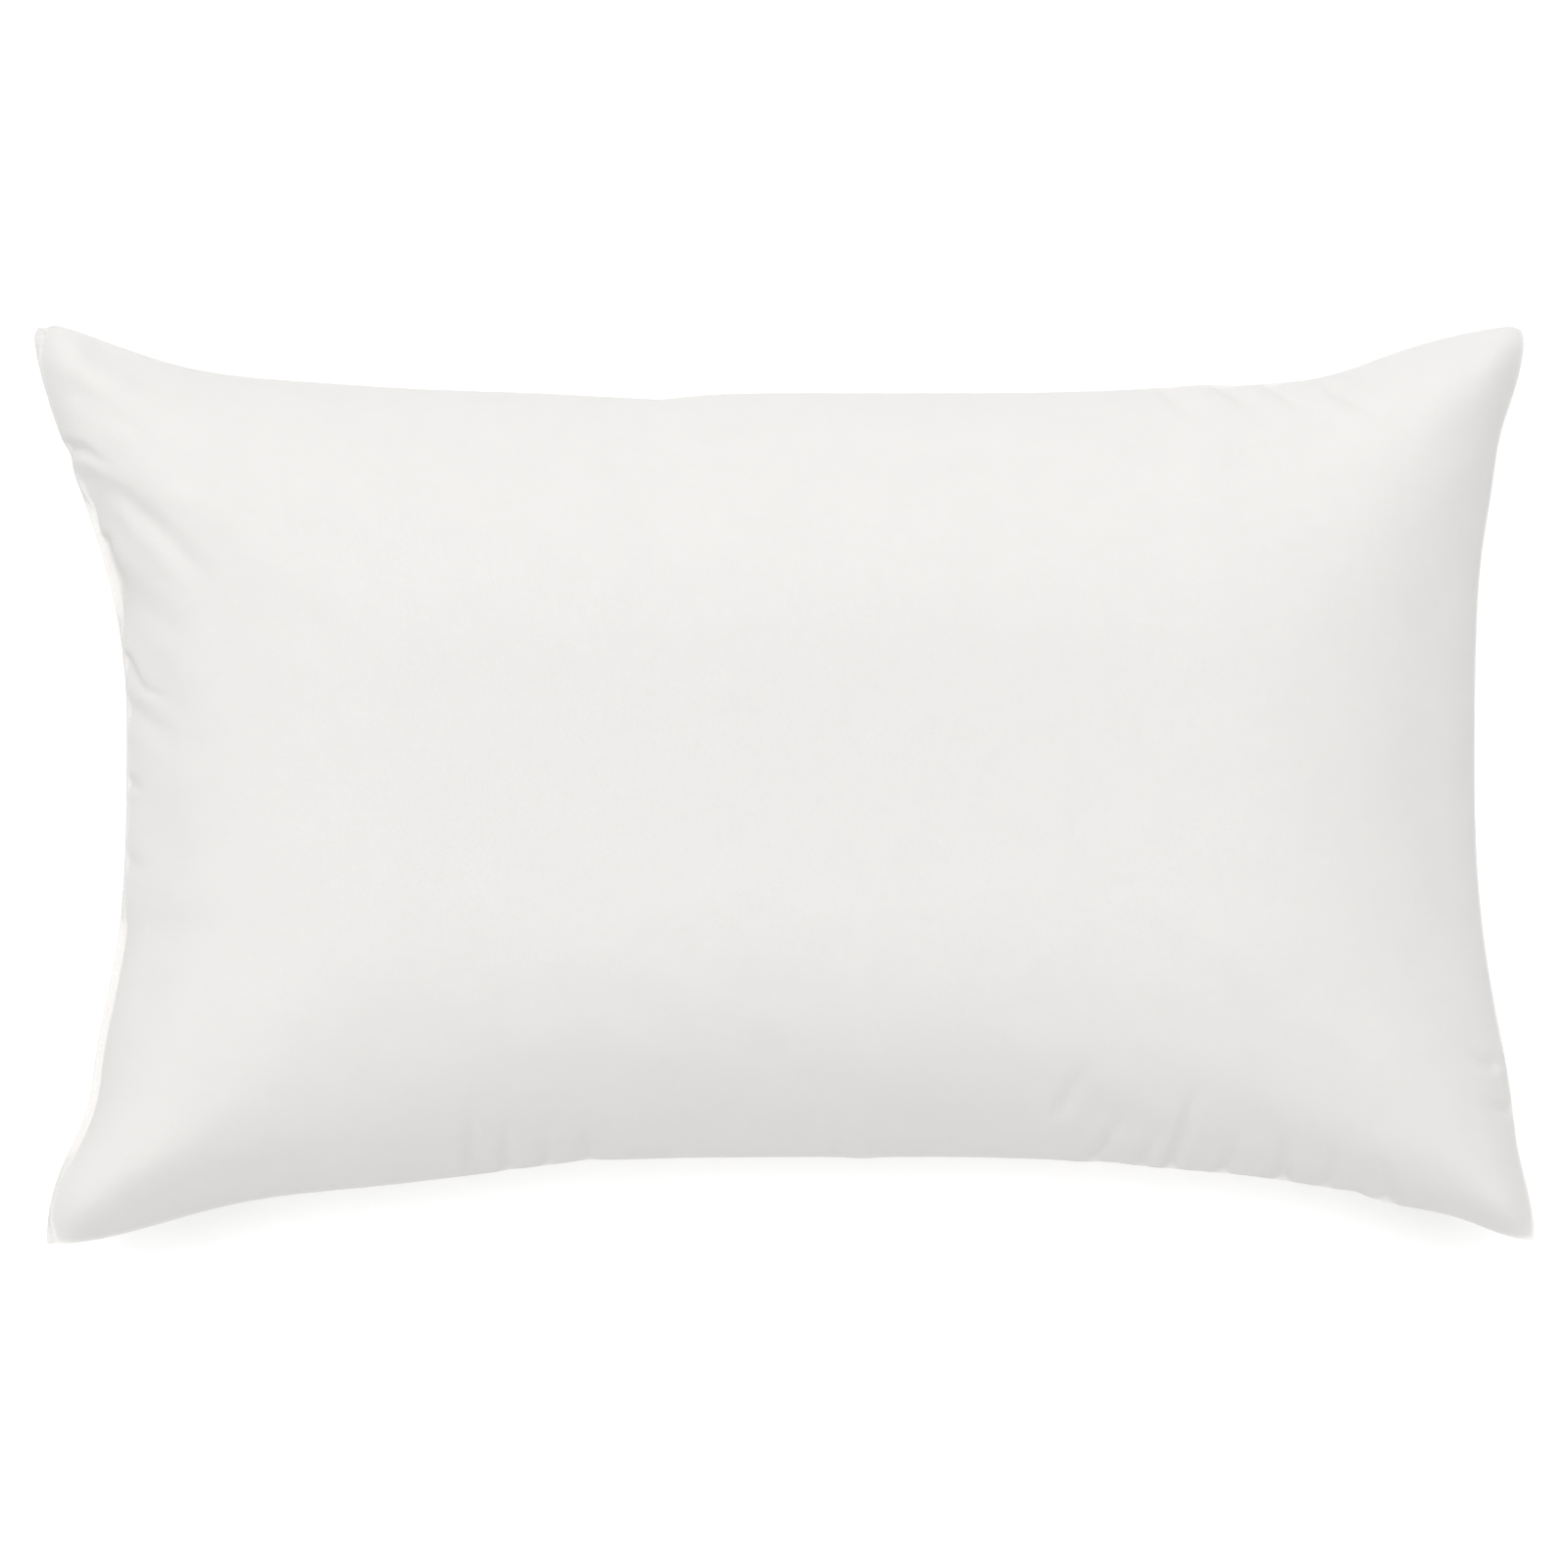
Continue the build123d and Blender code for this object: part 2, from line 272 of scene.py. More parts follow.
def split_at_corners(edge):
    """The four sides of an edge. Front and back run left to right, left and right front to back."""
    turned = [(-1, -1), (1, -1), (1, 1), (-1, 1)]
    corners = [int(np.argmax(edge @ np.array(way))) for way in turned]
    sides = {}
    for side, start, end in zip(SIDES, corners, corners[1:] + corners[:1]):
        count = (end - start) % len(edge) + 1
        run = edge[(start + np.arange(count)) % len(edge)]
        run = run if side in ("front", "right") else run[::-1]
        sides[side] = evenly(run, np.linspace(0, 1, EDGE_POINTS))
    sides["left"], back = with_round_corner(sides["left"], sides["back"][::-1], "back_left")
    sides["right"], sides["back"] = with_round_corner(sides["right"], back[::-1], "back_right")
    return sides


def with_round_corner(first, second, corner):
    """Two sides that end at the same corner, with a curve in its place."""
    tip, count = first[-1], CORNER_POINTS
    kept = [side[np.linalg.norm(side - tip, axis=1) > ROUNDED_CORNERS[corner]] for side in (first, second)]
    part = np.linspace(0, 1, 2 * count + 1)[:, None]
    start, end = kept[0][-1], kept[1][-1]
    curve = (1 - part) ** 2 * start + 2 * part * (1 - part) * tip + part**2 * end
    first = np.concatenate([kept[0], curve[1 : count + 1]])
    second = np.concatenate([kept[1], curve[::-1][1 : count + 1]])
    return first, second


def evenly(line, shares):
    """Points at shares of a line's length."""
    steps = np.linalg.norm(np.diff(line, axis=0), axis=1)
    at = np.concatenate([[0], np.cumsum(steps)]) / steps.sum()
    return np.stack([np.interp(shares, at, line[:, axis]) for axis in range(line.shape[1])], -1)


def flatness(v):
    """How flat the closing flange lies at shares of its length: 1 is flat and 0 hangs straight down."""
    spans = [np.tanh((v - start) / FLAT_BLEND) - np.tanh((v - end) / FLAT_BLEND) for start, end in FLAT_SPANS]
    return FLAT_LEAST + (1 - FLAT_LEAST) * np.clip(sum(spans) / 2, 0, 1)


def on_side(side, shares, inset=0.0, body=False):
    """Points of the outline in plan, `inset` inside it, or of the pillow's body, inside the flange."""
    points = evenly(EDGE_LINES[side], shares)
    inward = np.array(INWARD[side], float)
    length = CLOTH_LENGTH if side in ("front", "back") else CLOTH_WIDTH
    from_corner = np.minimum(shares, 1 - shares) * length
    for marked, place, depth, half_width in SEAM_MARKS:
        if marked == side:
            off = (shares - place) * length / half_width
            step = depth * np.exp(-off**2) * np.tanh(np.maximum(from_corner, 0) / STEADY_CORNER)
            points += step[:, None] * inward
    along = (1 - 2 * shares)[:, None] * np.abs(inward[::-1])
    points += inset * (inward + along)
    if body and side == "left":
        points[:, 0] += FLANGE * flatness(shares)
    if body and side in ("front", "back"):
        points[:, 0] += FLANGE * (1 - shares)
    return points


def seam_height(side, shares):
    """The seam's height: it rises and falls a little between the corners, least along the flange."""
    size = SEAM_WAVE if side != "left" else FLANGE_WAVE
    wave = np.sin(WAVE_START[side] + WAVE_TURNS * shares)
    return SEAM + size * np.sin(np.pi * shares) * wave


def seam_line(side, shares, inset=0.0, body=True, rise=0.0):
    """Points of the seam in space."""
    plan = on_side(side, shares, inset, body)
    return np.column_stack([plan, seam_height(side, shares) + rise])


def between_seams(u, v):
    """The grid of points blended from the four seams of the pillow's body, at shares u and v."""
    front, back = (seam_line(side, u)[:, None] for side in ("front", "back"))
    left, right = (seam_line(side, v)[None] for side in ("left", "right"))
    across, along = v[None, :, None], u[:, None, None]
    corners = (
        (1 - along) * ((1 - across) * front[:1] + across * back[:1])
        + along * ((1 - across) * front[-1:] + across * back[-1:])
    )
    return (1 - across) * front + across * back + (1 - along) * left + along * right - corners


# ---------------------------------------------------------------- the blown-up casing


def panel_grids(count_u, count_v):
    """Numbers of the casing's points in its upper and its lower panel, which share their borders."""
    upper = np.arange(count_u * count_v).reshape(count_u, count_v)
    inside = np.zeros((count_u, count_v), bool)
    inside[1:-1, 1:-1] = True
    lower = upper.copy()
    lower[inside] = upper.size + np.arange(inside.sum())
    return upper, lower, inside


def quads(grid):
    """The faces between the points of a grid."""
    return np.stack([grid[:-1, :-1], grid[1:, :-1], grid[1:, 1:], grid[:-1, 1:]], -1).reshape(-1, 4)


def mesh_object(name, points, faces):
    mesh = bpy.data.meshes.new(name)
    mesh.from_pydata([tuple(p) for p in points], [], [tuple(int(i) for i in f) for f in faces])
    mesh.update()
    thing = bpy.data.objects.new(name, mesh)
    bpy.context.scene.collection.objects.link(thing)
    return thing


def set_cloth(casing, pins):
    """The cloth and the air pressure in it."""
    group = casing.vertex_groups.new(name="seams")
    group.add([int(i) for i in pins], 1.0, "REPLACE")
    cloth = casing.modifiers.new("Cloth", "CLOTH")
    settings = cloth.settings
    settings.quality = CLOTH_STEPS
    settings.mass = CLOTH_MASS
    settings.tension_stiffness = STIFFNESS
    settings.compression_stiffness = STIFFNESS
    settings.shear_stiffness = SHEAR_STIFFNESS
    settings.bending_stiffness = BENDING_STIFFNESS
    settings.use_pressure = True
    settings.uniform_pressure_force = PRESSURE
    settings.effector_weights.gravity = 0
    settings.vertex_group_mass = group.name
    cloth.collision_settings.use_self_collision = False
    cloth.collision_settings.distance_min = FLOOR_GAP
    cloth.point_cache.frame_start = 1
    cloth.point_cache.frame_end = FRAMES


def blown_up(flat, seamed, faces, pins):
    """The casing after its seams move from the flat edge to the pillow's outline under pressure."""
    casing = mesh_object("casing", flat, faces)
    casing.shape_key_add(name="flat")
    key = casing.shape_key_add(name="seamed")
    key.data.foreach_set("co", seamed.ravel())
    for value, frame_number in ((0, 1), (1, SEAM_FRAMES)):
        key.value = value
        key.keyframe_insert("value", frame=frame_number)
    for curve in casing.data.shape_keys.animation_data.action.fcurves:
        for point in curve.keyframe_points:
            point.interpolation = "LINEAR"
    set_cloth(casing, pins)
    bpy.ops.mesh.primitive_plane_add(size=3)
    ground = bpy.context.object
    ground.modifiers.new("Collision", "COLLISION")
    ground.collision.thickness_outer = FLOOR_GAP
    ground.collision.cloth_friction = FLOOR_FRICTION
    scene = bpy.context.scene
    scene.frame_start, scene.frame_end = 1, FRAMES
    for number in range(1, FRAMES + 1):
        scene.frame_set(number)
    settled = casing.evaluated_get(bpy.context.evaluated_depsgraph_get())
    points = np.empty(len(flat) * 3)
    settled.data.vertices.foreach_get("co", points)
    for thing in (casing, ground):
        bpy.data.objects.remove(thing)
    scene.frame_set(1)
    return points.reshape(-1, 3)


def shoulder(share, length):
    """How far the pillow swells at a share of its length or width, away from its other two seams."""
    from_seam = np.minimum(share, 1 - share) * length
    return np.sin(np.pi / 2 * np.clip(from_seam / SHOULDER, TINY, 1)) ** CROWN_SHAPE


def fullness(u, v):
    """How far the filled pillow swells from its seam, as a share, at shares u and v of its sides."""
    along, across = shoulder(u, CLOTH_LENGTH), shoulder(v, CLOTH_WIDTH)
    return (np.add.outer(along**-CORNER_SHAPE, across**-CORNER_SHAPE) - 1) ** (-1 / CORNER_SHAPE)


def casing_shape():
    """The upper and the lower panel between their seams, each as a grid of points.

    A point has five numbers: its place, and where it was in the flat cloth."""
    count_u = round(CLOTH_LENGTH / CELL) + 1
    count_v = round(CLOTH_WIDTH / CELL) + 1
    u, v = np.linspace(0, 1, count_u), np.linspace(0, 1, count_v)
    upper, lower, inside = panel_grids(count_u, count_v)
    swell = fullness(u, v)
    noise = UNEVENNESS * np.random.default_rng(3).standard_normal(swell.shape)
    up = np.array([0, 0, 1.0])
    plan = between_seams(u, v)
    flat = np.dstack([*np.meshgrid((u - 0.5) * CLOTH_LENGTH, (v - 0.5) * CLOTH_WIDTH, indexing="ij"),
                      np.full(swell.shape, SEAM)])
    lift = (START_LIFT * swell + noise * inside)[..., None] * up
    shape = ((CROWN - SEAM) * swell)[..., None] * up
    rising = np.vstack([(plan + shape).reshape(-1, 3), (plan - shape)[inside]])
    start = np.vstack([(flat + lift).reshape(-1, 3), (flat - lift)[inside]])
    faces = np.vstack([quads(upper), quads(lower)[:, ::-1]])
    rising += (1 - FILL_HOLD) * (blown_up(start, rising, faces, upper[~inside]) - rising)
    places = np.stack(np.meshgrid(u * CLOTH_LENGTH, v * CLOTH_WIDTH, indexing="ij"), -1)
    return [np.dstack([ironed(rising[grid]), places]) for grid in (upper, lower)]


def ironed(grid):
    """A panel without the ripples that are too short for a stuffed casing, and pressed flat by the
    floor where it would reach below it."""
    for factor in IRONING_PASS * IRONING:
        around = grid[:-2, 1:-1] + grid[2:, 1:-1] + grid[1:-1, :-2] + grid[1:-1, 2:]
        grid[1:-1, 1:-1] += factor * (around / 4 - grid[1:-1, 1:-1])
    height = grid[..., 2]
    grid[..., 2] = (height + np.sqrt(height**2 + 4 * REST_SOFTNESS**2)) / 2
    return grid


# ---------------------------------------------------------------- creases


def resampled(rows, count):
    """A grid with `count` points along its first axis, on smooth curves through the old ones."""
    at = np.linspace(0, len(rows) - 1, count)
    first = np.minimum(at.astype(int), len(rows) - 2)
    part = (at - first)[:, None, None]
    ends = np.concatenate([2 * rows[:1] - rows[1:2], rows, 2 * rows[-1:] - rows[-2:-1]])
    a, b, c, d = (ends[first + i] for i in range(4))
    slope_b, slope_c = (c - a) / 2, (d - b) / 2
    cubic = 2 * b - 2 * c + slope_b + slope_c
    square = 3 * (c - b) - 2 * slope_b - slope_c
    return b + part * (slope_b + part * (square + part * cubic))


def finer(grid):
    """The same panel with its points FINE_CELL apart."""
    along = resampled(grid, round(CLOTH_LENGTH / FINE_CELL) + 1)
    across = resampled(along.transpose(1, 0, 2), round(CLOTH_WIDTH / FINE_CELL) + 1)
    return across.transpose(1, 0, 2)


def normals_of(grid, way):
    """Unit normals of a grid's points: way is 1 for the upper panel and -1 for the lower."""
    grid = grid[..., :3]
    normals = way * np.cross(np.gradient(grid, axis=0), np.gradient(grid, axis=1))
    return normals / np.linalg.norm(normals, axis=-1, keepdims=True)


def crease_depth(plan, line, half_width):
    """How deep a crease is at points in plan, as a share: it is a valley between two low lips."""
    line = np.array(line)
    lengths = np.linalg.norm(np.diff(line, axis=0), axis=1)
    nearest, along = np.full(plan.shape[:2], np.inf), np.zeros(plan.shape[:2])
    for start, run, before, length in zip(line, np.diff(line, axis=0), np.cumsum(lengths), lengths):
        part = np.clip((plan - start) @ run / length**2, 0, 1)
        away = np.linalg.norm(plan - start - part[..., None] * run, axis=-1)
        closer = away < nearest
        nearest = np.where(closer, away, nearest)
        along = np.where(closer, (before - length + part * length) / lengths.sum(), along)
    away = nearest / half_width
    return (1 - along) ** CREASE_FADE * (np.exp(-(away**2)) - LIP * np.exp(-((away / LIP_REACH) ** 2)))


def creased(grid):
    """The upper panel with its creases pressed in, each of which fades along its length."""
    push = sum(depth * crease_depth(grid[..., :2], line, width) for line, depth, width in CREASES)
    push *= np.clip((grid[..., 2] - SEAM) / CREASE_CLEARANCE, 0, 1)
    grid = grid.copy()
    grid[..., :3] -= push[..., None] * normals_of(grid, 1)
    return grid


# ---------------------------------------------------------------- the panels


def tightened(rows):
    """A grid with one more row just inside each end of its first axis."""
    first = rows[:1] + EDGE_SHARE * (rows[1:2] - rows[:1])
    last = rows[-1:] + EDGE_SHARE * (rows[-2:-1] - rows[-1:])
    return np.concatenate([rows[:1], first, rows[1:-1], last, rows[-1:]])


def on_flange(v, out, rise):
    """Points of the closing flange: `out` from the pillow's body and `rise` above its middle plane."""
    points = seam_line("left", v)
    flat = flatness(v)
    down = np.sqrt(1 - flat**2)
    points[:, 0] -= out * flat + rise * down
    points[:, 2] -= out * down - rise * flat
    return points


def closing_flange(v, way):
    """One panel's part of the flange, from its folded edge to the pillow's body."""
    lines = []
    for out, rise in FLANGE_STEPS:
        flat = np.column_stack([np.full(len(v), -out), v * CLOTH_WIDTH])
        lines.append(np.column_stack([on_flange(v, out, way * rise), flat]))
    return np.array(lines)


def border(grid):
    """A grid's border in order: along the front, up the right, back along the back and down the left."""
    return np.concatenate([grid[:, 0], grid[-1, 1:], grid[-2::-1, -1], grid[0, -2:0:-1]])


def turned_in(seam, inward, v, inset, rise):
    """The border after it is turned in by `inset`: under the flange on the left, and level elsewhere."""
    ring = seam.copy()
    ring[:, :2] += inset * inward
    ring[:, 2] += rise
    ring[:, 3:] -= inset * inward
    deeper = max(inset - FLANGE, 0)
    left = on_flange(v, max(FLANGE - inset, 0), rise)
    left[:, :2] += deeper * np.column_stack([np.ones(len(v)), 1 - 2 * v])
    ring[-len(v) :, :3] = left
    return ring


def panel(name, body, way):
    """One panel of cotton, out over the flange, round its rolled seams and in to its cut edges."""
    body = tightened(tightened(body).transpose(1, 0, 2)).transpose(1, 0, 2)
    v = body[0, :, 4] / CLOTH_WIDTH
    rise = np.zeros((len(FLANGE_STEPS) + len(body), len(v)))
    rise[:, (0, -1)] = rise[-1] = rise[len(FLANGE_STEPS)] = ROLL_HEIGHT
    rise[: len(FLANGE_STEPS)] = 0
    grid = np.concatenate([closing_flange(v, way), body])
    numbers = np.arange(rise.size).reshape(rise.shape)
    inward = np.stack(np.meshgrid(*(np.linspace(1, -1, count) for count in rise.shape), indexing="ij"), -1)
    inward, seam, edge = border(inward), border(grid), border(numbers)
    grid[..., 2] += way * rise
    rows, faces, last = [grid.reshape(-1, 5)], [quads(numbers)], edge
    for inset, height in ROLLED_EDGE:
        ring = turned_in(seam, inward, v[-2:0:-1], inset, way * height)
        now = sum(len(row) for row in rows) + np.arange(len(ring))
        rows.append(ring)
        faces.append(np.stack([last, now, np.roll(now, -1), np.roll(last, -1)], -1))
        last = now
    rows, faces = np.vstack(rows), np.vstack(faces)
    thing = mesh_object(name, rows[:, :3], faces if way > 0 else faces[:, ::-1])
    write_uv(thing, rows[:, 3:])
    thing.data.shade_smooth()
    mark_fold(thing, edge)
    return thing


def mark_fold(thing, loop):
    """Keeps the shading crisp across the fold along a closed loop of points."""
    folds = {frozenset(pair) for pair in zip(loop.tolist(), np.roll(loop, -1).tolist())}
    sharp = [frozenset(line.vertices) in folds for line in thing.data.edges]
    thing.data.attributes.new("sharp_edge", "BOOLEAN", "EDGE").data.foreach_set("value", sharp)


def write_uv(thing, places):
    """A UV map in metres of flat cloth."""
    layer = thing.data.uv_layers.new(name="flat_cloth")
    corners = np.empty(len(thing.data.loops), np.int32)
    thing.data.loops.foreach_get("vertex_index", corners)
    layer.data.foreach_set("uv", places[corners].astype(np.float32).ravel())


# ---------------------------------------------------------------- threads


def thread_tubes(name, lines):
    """Round threads along lines of points, with closed ends, as one mesh."""
    points, faces, start = [], [], 0
    turn = np.linspace(0, 2 * np.pi, THREAD_SIDES, endpoint=False)
    for line, radii in lines:
        heading = np.gradient(line, axis=0)
        heading /= np.linalg.norm(heading, axis=1, keepdims=True)
        side = np.cross(heading, [0, 0, 1.0])
        up = np.cross(side, heading)
        ring = np.cos(turn)[None, :, None] * side[:, None] + np.sin(turn)[None, :, None] * up[:, None]
        points.append((line[:, None] + radii[:, None, None] * ring).reshape(-1, 3))
        numbers = start + np.arange(len(line) * THREAD_SIDES).reshape(len(line), THREAD_SIDES)
        wrapped = np.column_stack([numbers, numbers[:, 0]])
        faces += [tuple(face) for face in quads(wrapped)]
        faces += [tuple(numbers[0]), tuple(numbers[-1][::-1])]
        start += numbers.size
    thing = mesh_object(name, np.vstack(points), faces)
    thing.data.shade_smooth()
    return thing


def closing_thread(name, way, under_label):
    """The closing stitches on one face of the flange: each rises from its hole and goes back down."""
    length = np.linalg.norm(np.diff(EDGE_LINES["left"], axis=0), axis=1).sum()
    count = int((length - 2 * STITCH_MARGIN) / STITCH_PITCH)
    part = np.linspace(-0.5, 0.5, STITCH_SECTIONS)
    radii = THREAD_RADIUS * np.sqrt(np.maximum(1 - (2 * part) ** 6, STITCH_END))
    lines = []
    for i in range(count):
        middle = (STITCH_MARGIN + (i + 0.5) * STITCH_PITCH) / length
        shares = middle + part * STITCH_LENGTH / length
        near_label = abs(middle - LABEL_PLACE) * length < LABEL_WIDTH / 2
        height = STITCH_HEIGHT + (under_label if near_label else 0)
        rise = height - 2 * THREAD_RADIUS * (2 * part) ** 4
        lines.append((on_flange(shares, FLANGE - STITCH_INSET, way * rise), radii))
    return thread_tubes(name, lines)


def overlock_needle():
    """The overlock's needle thread along the three turned seams."""
    lines = []
    for side in ("front", "right", "back"):
        shares = np.linspace(OVERLOCK_MARGIN, 1 - OVERLOCK_MARGIN, OVERLOCK_POINTS)
        line = seam_line(side, shares, OVERLOCK_NEEDLE, rise=RIM / 2)
        lines.append((line, np.full(len(line), THREAD_RADIUS)))
    return thread_tubes("overlock_needle_thread", lines)


def overlock_looper(name, first_bite, rise):
    """A looper thread, to and fro over the allowances' cut edge."""
    lines = []
    for side in ("front", "right", "back"):
        length = CLOTH_WIDTH if side == "right" else CLOTH_LENGTH
        count = round(length / OVERLOCK_STEP)
        shares = np.linspace(OVERLOCK_MARGIN, 1 - OVERLOCK_MARGIN, count)
        bites = [seam_line(side, shares, bite, rise=rise) for bite in OVERLOCK_BITE]
        odd = (np.arange(count) + first_bite) % 2
        line = np.where(odd[:, None] == 1, bites[1], bites[0])
        lines.append((line, np.full(count, THREAD_RADIUS)))
    return thread_tubes(name, lines)


# ---------------------------------------------------------------- the care label


def label_line(top, bottom, layer):
    """One layer of the folded label, from its sewn end out over the bend and down to the loop.

    Each point has how far in it lies from the hinge, and its height. Layer is 1 or -1."""
    over = LABEL_SPREAD * layer
    turns = np.linspace(0, np.pi / 2, LABEL_TURN_POINTS)
    drops = np.linspace(0, 1, LABEL_POINTS)[1:]
    bend_in = LABEL_BEND / 2 * (1 - np.sin(turns)) + over
    bend_height = top + over / 2 - LABEL_BEND * (1 - np.cos(turns))
    wave = LABEL_WAVE * np.sin(LABEL_CURL * drops) * np.sin(np.pi * drops)
    line_in = np.concatenate([[LABEL_TUCK + LABEL_SPREAD], bend_in, over + wave])
    fall = bend_height[-1] + drops * (bottom - bend_height[-1])
    height = np.concatenate([[top + over / 2], bend_height, fall])
    return np.column_stack([line_in, height])


def label_loop(bottom):
    """The fold at the label's lower end."""
    turns = np.linspace(0, np.pi, LABEL_TURN_POINTS)[1:-1]
    return np.column_stack([LABEL_SPREAD * np.cos(turns), bottom - LABEL_SPREAD * np.sin(turns)])


def care_label(hinge, length):
    """A folded strip of satin: its ends lie under the flange and its loop hangs from the stitches."""
    near = on_side("left", np.array([LABEL_PLACE - LABEL_NEAR, LABEL_PLACE + LABEL_NEAR]))
    along = (near[1] - near[0]) / np.linalg.norm(near[1] - near[0])
    inward = np.array([along[1], -along[0]])
    top, bottom = SEAM - 3 * LAYER, hinge.z - length + LABEL_SPREAD
    outer, inner = (label_line(top, bottom, layer) for layer in (1, -1))
    line = np.concatenate([outer, label_loop(bottom), inner[::-1]])
    widths = np.linspace(-0.5, 0.5, LABEL_POINTS) * LABEL_WIDTH
    bow = LABEL_BOW * np.cos(np.pi * widths / LABEL_WIDTH)
    hang = np.clip((top - line[:, 1]) / length, 0, 1)
    from_hinge = line[:, :1] - np.outer(hang, bow)
    points = np.empty((len(line), len(widths), 3))
    points[..., :2] = [hinge.x, hinge.y] + from_hinge[..., None] * inward + widths[:, None] * along
    points[..., 2] = line[:, 1:]
    numbers = np.arange(len(line) * len(widths)).reshape(len(line), len(widths))
    thing = mesh_object("satin_label", points.reshape(-1, 3), quads(numbers))
    down = np.concatenate([[0], np.cumsum(np.linalg.norm(np.diff(line, axis=0), axis=1))])
    write_uv(thing, np.stack(np.meshgrid(down, widths, indexing="ij"), -1).reshape(-1, 2))
    thicken(thing)
    return thing


def thicken(thing):
    """Gives the label's satin its thickness."""
    solid = thing.modifiers.new("thickness", "SOLIDIFY")
    solid.thickness = LABEL_THICKNESS
    solid.offset = 0
    bpy.context.view_layer.objects.active = thing
    bpy.ops.object.modifier_apply(modifier=solid.name)
    thing.data.shade_smooth()


# ---------------------------------------------------------------- the filling


def fibre_fill(upper, lower):
    """The filling, lumpy and a little smaller than the casing all round."""
    sheets = []
    for grid, way in ((upper, 1), (lower, -1)):
        coarse = grid[::FILL_STEP, ::FILL_STEP, :3]
        inner = coarse[1:-1, 1:-1].copy()
        normals = normals_of(coarse, way)[1:-1, 1:-1]
        a, b = inner[..., 0] / FILL_LUMP_LENGTH, inner[..., 1] / FILL_LUMP_WIDTH
        lumps = np.sin(a + 1.3 * np.sin(b)) * np.sin(1.1 * b + 1.7 * np.cos(0.8 * a))
        inner -= (FILL_GAP + FILL_LUMPS * (0.5 + 0.5 * lumps))[..., None] * normals
        sheets.append(inner)
    edge = (sheets[0] + sheets[1]) / 2
    rim = np.zeros(edge.shape[:2], bool)
    rim[0] = rim[-1] = True
    rim[:, 0] = rim[:, -1] = True
    for sheet in sheets:
        sheet[rim] = edge[rim]
    top, bottom, inside = panel_grids(*edge.shape[:2])
    points = np.vstack([sheets[0].reshape(-1, 3), sheets[1][inside]])
    thing = mesh_object("filling", points, np.vstack([quads(top), quads(bottom)[:, ::-1]]))
    thing.data.shade_smooth()
    return thing


# ---------------------------------------------------------------- materials


class Shader:
    """A material's node tree, with short ways to add nodes to it."""

    def __init__(self, name, roughness, sheen):
        self.material = bpy.data.materials.new(name)
        self.material.use_nodes = True
        self.tree = self.material.node_tree
        self.surface = self.tree.nodes["Principled BSDF"]
        self.surface.inputs["Roughness"].default_value = roughness
        self.surface.inputs["Sheen Weight"].default_value = sheen
        self.surface.inputs["Sheen Roughness"].default_value = 0.5
        self.surface.inputs["Specular IOR Level"].default_value = 0.25

    def add(self, kind, links=(), **values):
        node = self.tree.nodes.new(kind)
        for name, value in values.items():
            setattr(node, name, value)
        for socket, source in dict(links).items():
            if isinstance(source, bpy.types.NodeSocket):
                self.tree.links.new(source, node.inputs[socket])
            else:
                node.inputs[socket].default_value = source
        return node

    def maths(self, operation, a, b=0.0):
        return self.add("ShaderNodeMath", {0: a, 1: b}, operation=operation).outputs[0]

    def noise(self, place, size, detail=2.0, stretch=(1, 1, 1)):
        moved = self.add("ShaderNodeMapping", {"Vector": place, "Scale": stretch}).outputs[0]
        links = {"Vector": moved, "Scale": 1 / size, "Detail": detail, "Roughness": 0.55}
        return self.add("ShaderNodeTexNoise", links).outputs["Fac"]

    def waves(self, distance, pitch):
        """A sine from -1 to 1 along a distance."""
        return self.maths("SINE", self.maths("MULTIPLY", distance, 2 * math.pi / pitch))

    def tint(self, share, dark, light):
        mix = self.add("ShaderNodeMix", {"Factor": share}, data_type="RGBA")
        mix.inputs[6].default_value = (*dark, 1)
        mix.inputs[7].default_value = (*light, 1)
        self.tree.links.new(mix.outputs[2], self.surface.inputs["Base Color"])

    def bump(self, height, distance, strength, under=None):
        links = {"Height": height, "Distance": distance, "Strength": strength}
        if under is not None:
            links["Normal"] = under
        node = self.add("ShaderNodeBump", links)
        self.tree.links.new(node.outputs[0], self.surface.inputs["Normal"])
        return node.outputs[0]


def shade(colour, amount):
    """A colour made darker, or lighter where the amount is over 1."""
    return tuple(channel * amount for channel in colour)


